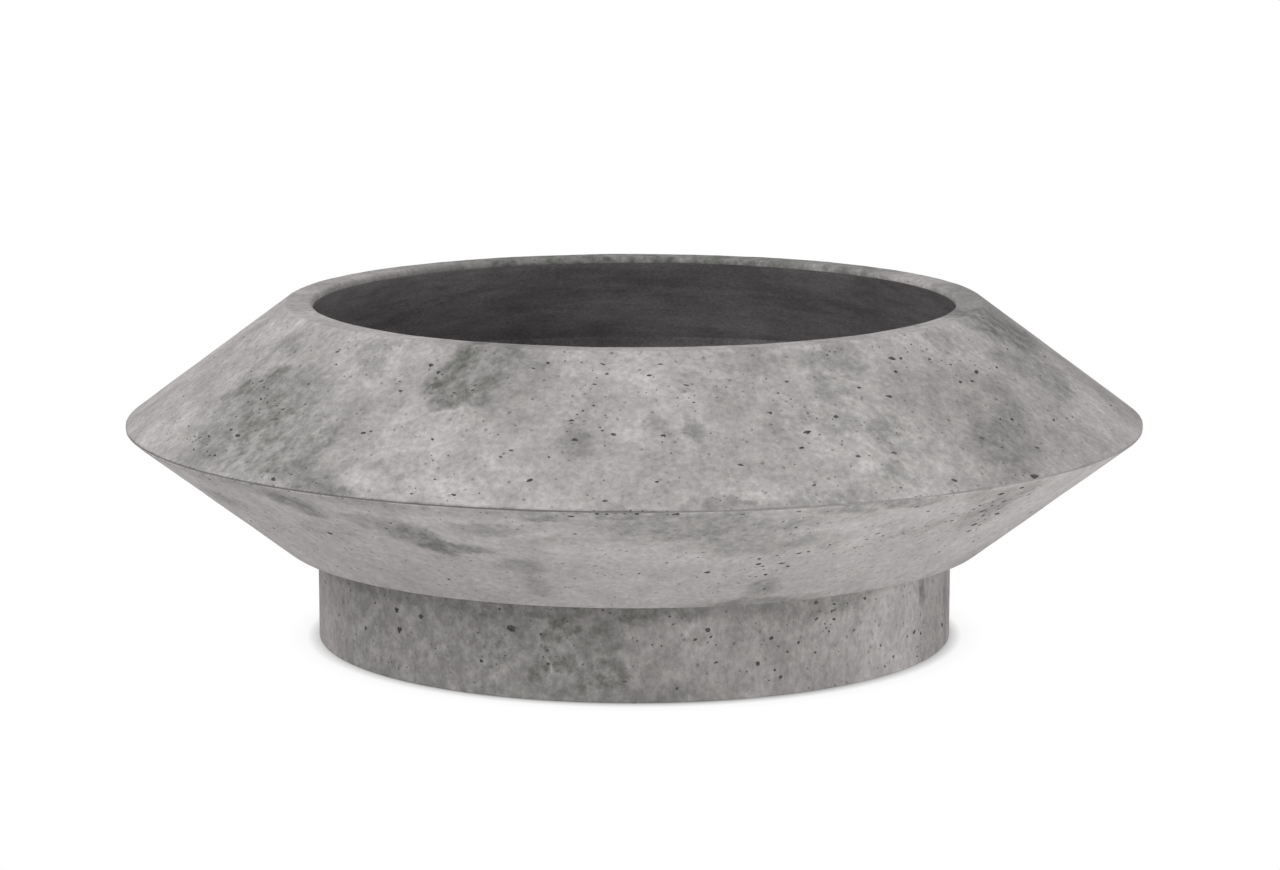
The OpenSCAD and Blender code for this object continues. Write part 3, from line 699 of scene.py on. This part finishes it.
plinth_concrete = concrete(
    "cast_concrete_plinth", "bfbbba", "aaa6a5", 15.3, (1.1, 1.1, 0.8), 1,
    # The band along the plinth's top, just under the bowl, is painted shade.
    (0.1155, 0.024, 1.0),
    [
        # The left, darker as a whole, as painted shade.
        (-114, 48, 34, 28, 0, 0.95), (-116, 66, 160, 80, 0, 0.7), (-118, 82, 100, 24, 0, 0.75),
        (-132, 52, 300, 180, 0, 0.6), (-136, 90, 90, 14, 0, 0.5), (-147, 58, 60, 80, 0, 0.5),
        # The dark patch left of the middle.
        (-79.5, 74, 24, 16, 0, 0.45), (-88, 52, 60, 70, 0, 0.4), (-92, 92, 80, 18, 0, 0.7),
        (-96, 20, 34, 16, 0, 1.0), (-96, 28, 76, 34, 0, 0.85), (-96, 66, 64, 34, 10, 0.8),
        (-101, 14, 56, 20, 0, 0.7), (-102, 46, 34, 22, 0, 1.0), (-102, 87, 40, 22, 0, 1.0),
        (-103, 60, 40, 24, 0, 0.6), (-104, 72, 30, 26, 0, 1.0), (-106.5, 32, 26, 24, 0, 1.0),
        # Bands of painted shade along the ground and under the bowl.
        (-58, 102, 210, 26, 0, 0.65), (-98, 108, 300, 22, 0, 0.95), (-100, 4, 300, 34, 0, 0.7),
        # The right, and the back.
        (-14, 50, 30, 60, 0, 0.5), (-28, 78, 16, 30, 0, 0.7), (-64, 50, 44, 20, 0, 0.3),
        (60, 60, 80, 40, 0, 0.5), (150, 50, 70, 40, 0, 0.5),
    ])

ring = bmesh.new()
ring.from_mesh(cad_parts["plinth_ring"].data)
bmesh.ops.remove_doubles(ring, verts=ring.verts, dist=1e-6)
# Level cuts every 6 mm, so that the tall face can sway.
for level in range(9, 111, 6):
    bmesh.ops.bisect_plane(ring, geom=ring.verts[:] + ring.edges[:] + ring.faces[:], dist=1e-6,
                           plane_co=(0, 0, level / 1000), plane_no=(0, 0, 1))
sway(ring, lambda co: math.hypot(co.x, co.y) > PLINTH_R - 0.0004)
pores = bmesh.new()
plinth_wall = on_wall((PLINTH_R, PLINTH_LOW_Z), (PLINTH_R, PLINTH_TOP_Z))
drill(pores, plinth_wall, [
    (-135.6, 82, 6, 6), (-129.7, 80, 5, 8), (-68.6, 40, 5, 5), (-111.4, 80, 7, 9),
    (-135.0, 60, 7, 7), (-144.8, 51, 5, 5), (-57.4, 102, 4, 5), (-64.3, 22, 3.5, 4.5),
    (-60.8, 59, 3.5, 4), (-82.8, 17, 3.5, 3), (-46.2, 97, 3.5, 5), (-54.5, 67, 3, 3),
    (-104.7, 43, 3.5, 4), (-57.4, 45, 3, 4), (-63.0, 50, 3, 4), (-41.9, 38, 3, 3),
    (-48.8, 63, 3, 3), (-65.4, 31, 3.5, 3), (-106.0, 76, 3, 4), (-113.5, 101, 3, 4),
    *scattered(10, 106, 150, 37)])
plinth = cut("ring_plinth", ring, pores, [plinth_concrete, painted_pore_shade])
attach(plinth, "planter")
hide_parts("plinth_ring")

# ---- Bedding, sockets and bolts -------------------------------------------------------------
# A black EPDM sheet lies between the bowl and the plinth. Six hexagon bolts pull them together
# into sockets cast in the bosses, each on a steel washer over an EPDM one.

BOLT_FLATS = 0.019
BOLT_TIP_Z = 0.0785
BOLT_HEAD_Z = 0.1435
BOLT_TOP_Z = 0.151
# An M12 thread, which stops 1 mm under the head.
BOLT_CORE_R = 0.0051
BOLT_R = 0.006
BOLT_PITCH = 0.00175
BOLT_THREAD_TOP_Z = 0.1425

# EPDM rubber from a mould: black, with a grey bloom in clouds 30 mm across that dulls its sheen.
# The mould's pits, really 0.2 mm wide, are drawn 0.7 mm wide.
rubber = bpy.data.materials.new("moulded_epdm_rubber")
tree = emptied(rubber)
place = add(tree, "TexCoord").outputs["Object"]
bloom = add(tree, "TexNoise", {"Vector": place, "Scale": 35, "Detail": 5, "Roughness": 0.7})
pitted = add(tree, "TexNoise", {"Vector": place, "Scale": 1500, "Detail": 2})
tone = add(tree, "Mix", {"Factor": bloom.outputs[0], "A": linear("191919"), "B": linear("313130")},
           data_type="RGBA")
dull = add(tree, "MapRange", {"Value": bloom.outputs[0], "To Min": 0.55, "To Max": 0.8})
rise = add(tree, "Bump", {"Height": pitted.outputs[0], "Distance": 0.0001, "Strength": 0.4})
shader = add(tree, "BsdfPrincipled", {"Base Color": tone.outputs["Result"], "IOR": 1.52,
                                      "Roughness": dull.outputs[0], "Normal": rise.outputs[0]})
add(tree, "OutputMaterial", {"Surface": shader.outputs[0]})
dress(rubber, "bedding_gasket", "bolt_seals", "drain_gasket", "plug_o_ring")
dress(steel, "threaded_sockets", "bolt_washers")


def formed(name, bm, material):
    """Makes a piece of one material from bm, smooth but for its edges."""
    bmesh.ops.recalc_face_normals(bm, faces=bm.faces)
    piece = bpy.data.objects.new(name, bpy.data.meshes.new(name))
    bm.to_mesh(piece.data)
    bm.free()
    piece.data.materials.append(material)
    piece.data.shade_smooth()
    piece.data.set_sharp_from_angle(angle=math.radians(25))
    scene.collection.objects.link(piece)
    return piece


def hexagonal(flats, low, high):
    """Makes a hexagon across its flats with worn corners; its end at high has the round chamfer."""
    bm = bmesh.new()
    bmesh.ops.create_cone(bm, cap_ends=True, segments=6, radius1=flats / math.sqrt(3),
                          radius2=flats / math.sqrt(3), depth=abs(high - low),
                          matrix=Matrix.Translation((0, 0, (low + high) / 2))
                          @ Matrix.Rotation(math.radians(30), 4, "Z"))
    corners = [edge for edge in bm.edges if abs(edge.verts[0].co.z - edge.verts[1].co.z) > 0.001]
    bmesh.ops.bevel(bm, geom=corners, offset=0.0004, offset_type="OFFSET", affect="EDGES",
                    segments=3, profile=0.5, material=-1)
    up = math.copysign(math.cos(math.radians(30)), high - low)
    for step in range(72):
        turn = math.radians(5 * step)
        made = bmesh.ops.bisect_plane(
            bm, geom=bm.verts[:] + bm.edges[:] + bm.faces[:], dist=1e-7, clear_outer=True,
            plane_co=(0.49 * flats * math.cos(turn), 0.49 * flats * math.sin(turn), high),
            plane_no=(math.cos(turn) / 2, math.sin(turn) / 2, up))
        rim = [item for item in made["geom_cut"] if isinstance(item, bmesh.types.BMEdge)]
        bmesh.ops.contextual_create(bm, geom=rim)
    return bm


def thread(bm, core, crest, pitch, low, high):
    """Winds a right-hand thread round an upright core, running out at both ends."""
    others = set(bm.verts)
    ridge = [bm.verts.new((r, 0, low + z)) for r, z in (
        (core - 0.0002, 0), (crest, pitch * 0.44), (crest, pitch * 0.56), (core - 0.0002, pitch))]
    sides = [bm.edges.new(pair) for pair in zip(ridge, ridge[1:] + ridge[:1])]
    start = bm.faces.new(ridge)
    turns = (high - low) / pitch - 1
    steps = int(turns * 28)
    bmesh.ops.spin(bm, geom=[start, *sides, *ridge], cent=(0, 0, 0), axis=(0, 0, 1),
                   dvec=(0, 0, turns * pitch / steps), angle=2 * math.pi * turns, steps=steps)
    for vert in bm.verts:
        out = math.hypot(vert.co.x, vert.co.y)
        share = min(vert.co.z - low, high - vert.co.z) / pitch
        if vert not in others and out > core and share < 1:
            vert.co.x *= (core + (crest - core) * share) / out
            vert.co.y *= (core + (crest - core) * share) / out


# The shank reaches 0.5 mm up into the head.
steels = hexagonal(BOLT_FLATS, BOLT_HEAD_Z, BOLT_TOP_Z)
cylinder(steels, BOLT_CORE_R, BOLT_TIP_Z, BOLT_HEAD_Z + 0.0005)
thread(steels, BOLT_CORE_R, BOLT_R, BOLT_PITCH, BOLT_TIP_Z, BOLT_THREAD_TOP_Z)
bmesh.ops.translate(steels, verts=steels.verts, vec=(BOLT_CIRCLE_R, 0, 0))
bmesh.ops.spin(steels, geom=steels.verts[:] + steels.edges[:] + steels.faces[:], cent=(0, 0, 0),
               axis=(0, 0, 1), angle=math.radians(300), steps=5, use_duplicate=True)
bolts = formed("hexagon_bolts", steels, steel)
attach(bolts, "planter")
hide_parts("plinth_bolts")

# ---- Drain ----------------------------------------------------------------------------------
# A flanged drain body moulded in dark grey PVC-U stands through the floor, clamped by a
# locknut on a white nylon slip ring. Its plug screws in from above by a hexagon.

# The barrel's thread and the locknut on it.
BARREL_CORE_R = 0.0292
BARREL_R = 0.03
BARREL_PITCH = 0.0023
NUT_FLATS = 0.08
NUT_LOW_Z = 0.101
NUT_TOP_Z = 0.115
# The plug's thread, its flange and its key.
PLUG_CORE_R = 0.0229
PLUG_R = 0.02395
PLUG_PITCH = 0.00231
PLUG_LOW_Z = 0.1245
FLANGE_LOW_Z = 0.1425
KEY_FLATS = 0.027
KEY_TOP_Z = 0.161

# PVC-U from a mould: dark grey and half matt, with faint clouds of flow 30 mm across in its tone
# and sheen. The mould's grain, really 0.2 mm wide, is drawn 0.8 mm wide.
pvc = bpy.data.materials.new("moulded_pvc_u")
tree = emptied(pvc)
place = add(tree, "TexCoord").outputs["Object"]
flow = add(tree, "TexNoise", {"Vector": place, "Scale": 30, "Detail": 4, "Roughness": 0.6})
fine = add(tree, "TexNoise", {"Vector": place, "Scale": 1200, "Detail": 2})
tone = add(tree, "Mix", {"Factor": flow.outputs[0], "A": linear("3b3d40"), "B": linear("505356")},
           data_type="RGBA")
dull = add(tree, "MapRange", {"Value": flow.outputs[0], "To Min": 0.34, "To Max": 0.52})
rise = add(tree, "Bump", {"Height": fine.outputs[0], "Distance": 0.00005, "Strength": 0.5})
shader = add(tree, "BsdfPrincipled", {"Base Color": tone.outputs["Result"], "IOR": 1.53,
                                      "Roughness": dull.outputs[0], "Normal": rise.outputs[0]})
add(tree, "OutputMaterial", {"Surface": shader.outputs[0]})

# Nylon without pigment: a warm white with a soft sheen, hazy in clouds 12 mm across.
nylon = bpy.data.materials.new("natural_nylon")
tree = emptied(nylon)
place = add(tree, "TexCoord").outputs["Object"]
haze = add(tree, "TexNoise", {"Vector": place, "Scale": 80, "Detail": 3})
tone = add(tree, "Mix", {"Factor": haze.outputs[0], "A": linear("d8d5c9"), "B": linear("e9e7de")},
           data_type="RGBA")
dull = add(tree, "MapRange", {"Value": haze.outputs[0], "To Min": 0.35, "To Max": 0.5})
shader = add(tree, "BsdfPrincipled", {"Base Color": tone.outputs["Result"], "IOR": 1.53,
                                      "Roughness": dull.outputs[0]})
add(tree, "OutputMaterial", {"Surface": shader.outputs[0]})
dress(nylon, "drain_slip_ring")

# From the outlet tail up the barrel, round the flange, and down the plug's seat and the bore.
shell = turned(
    [(0.021, 0.070, 0.0006), (0.025, 0.070, 0.001), (0.025, 0.098, 0),
     (BARREL_CORE_R, 0.098, 0.0005), (BARREL_CORE_R, NUT_TOP_Z, 0), (BARREL_R, NUT_TOP_Z, 0),
     (BARREL_R, 0.137, 0), (0.045, 0.137, 0.0004), (0.045, FLOOR_Z, 0.0012),
     (0.032, FLOOR_Z, 0.0006), (0.032, 0.140, 0.0004), (0.024, 0.140, 0.0006),
     (0.024, 0.1225, 0), (0.021, 0.1225, 0.0004)],
    [0] * 14, 96)
thread(shell, BARREL_CORE_R, BARREL_R, BARREL_PITCH, 0.0985, NUT_TOP_Z)
body = formed("flanged_drain_body", shell, pvc)
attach(body, "planter")
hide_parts("drain_body")
bore = bmesh.new()
cylinder(bore, BARREL_R + 0.00005, 0.09, 0.12)
nut = cut("drain_locknut", hexagonal(NUT_FLATS, NUT_TOP_Z, NUT_LOW_Z), bore, [pvc])
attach(nut, "planter")
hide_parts("drain_nut")
# The plug's barrel is hollow below, and its key stands 14 mm above the flange.
stopper = turned(
    [(0, FLOOR_Z, 0), (0.031, FLOOR_Z, 0.0012), (0.031, FLANGE_LOW_Z, 0.0004),
     (PLUG_CORE_R, FLANGE_LOW_Z, 0), (PLUG_CORE_R, PLUG_LOW_Z, 0.0005),
     (0.01995, PLUG_LOW_Z, 0.0005), (0.01995, FLANGE_LOW_Z, 0.001), (0, FLANGE_LOW_Z, 0)],
    [0] * 8, 96)
thread(stopper, PLUG_CORE_R, PLUG_R, PLUG_PITCH, PLUG_LOW_Z + 0.0005, FLANGE_LOW_Z)
key = bpy.data.meshes.new("key")
hexagonal(KEY_FLATS, FLOOR_Z - 0.0001, KEY_TOP_Z).to_mesh(key)
stopper.from_mesh(key)
plug = formed("screw_plug", stopper, pvc)
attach(plug, "plug")
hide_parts("drain_plug")

# ---- Feet -----------------------------------------------------------------------------------
# Twelve EPDM discs pressed into pockets under the plinth, which lift it 1 mm off the ground.
pads = bmesh.new()
pads.from_mesh(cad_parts["foot_pads"].data)
bmesh.ops.remove_doubles(pads, verts=pads.verts, dist=1e-6)
bmesh.ops.dissolve_limit(pads, angle_limit=math.radians(0.5), verts=pads.verts, edges=pads.edges)
rims = [edge for edge in pads.edges if edge.is_manifold and edge.calc_face_angle() > 0.5]
bmesh.ops.bevel(pads, geom=rims, offset=0.0005, offset_type="OFFSET", affect="EDGES",
                segments=3, profile=0.5, material=-1)
feet = formed("rubber_feet", pads, rubber)
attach(feet, "planter")
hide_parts("foot_pads")
